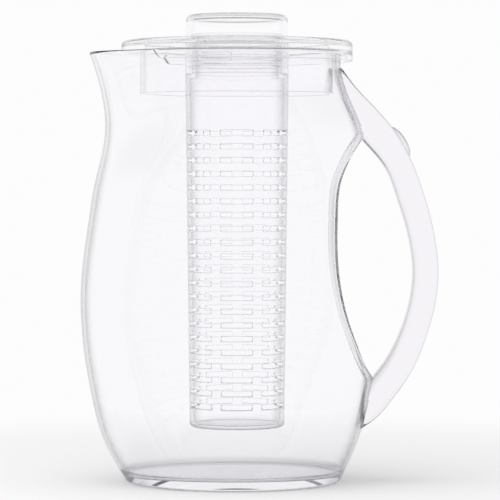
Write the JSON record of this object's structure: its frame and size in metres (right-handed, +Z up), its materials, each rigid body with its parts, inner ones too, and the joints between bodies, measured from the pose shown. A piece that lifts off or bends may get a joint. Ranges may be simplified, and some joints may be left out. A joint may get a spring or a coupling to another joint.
{
  "type": "fruit infusion pitcher",
  "caption": "Clear acrylic pitcher with a spout, a bonded side handle and a lift-off lid; a slotted tube for fruit hangs from the lid and twists out of it.",
  "frame": {"origin": "on the table, in the middle of the base's flat underside, under the axis of the lid and the infuser", "axes": "+Z up along the infuser's axis, +X towards the handle, so the spout points along -X"},
  "size_m": [0.1899, 0.1246, 0.2477],
  "materials": {
    "jug_body": "clear, polished",
    "handle": "clear, polished",
    "lid": "clear, polished",
    "lid_knob": "clear, polished",
    "infuser": "clear, polished"
  },
  "bodies": {
    "jug": {"jug_body": "jug_body", "handle": "handle"},
    "lid": {"lid": "lid", "lid_knob": "lid_knob"},
    "infuser": {"infuser": "infuser"}
  },
  "joints": [
    {"name": "lid_lift", "type": "slide", "parent": "jug", "child": "lid", "axis": [0, 0, 1], "range_m": [0, 0.21]},
    {"name": "infuser_twist", "type": "hinge", "parent": "lid", "child": "infuser", "pos_m": [0, 0, 0.2247], "axis": [0, 0, -1], "range_deg": [0, 60]}
  ]
}
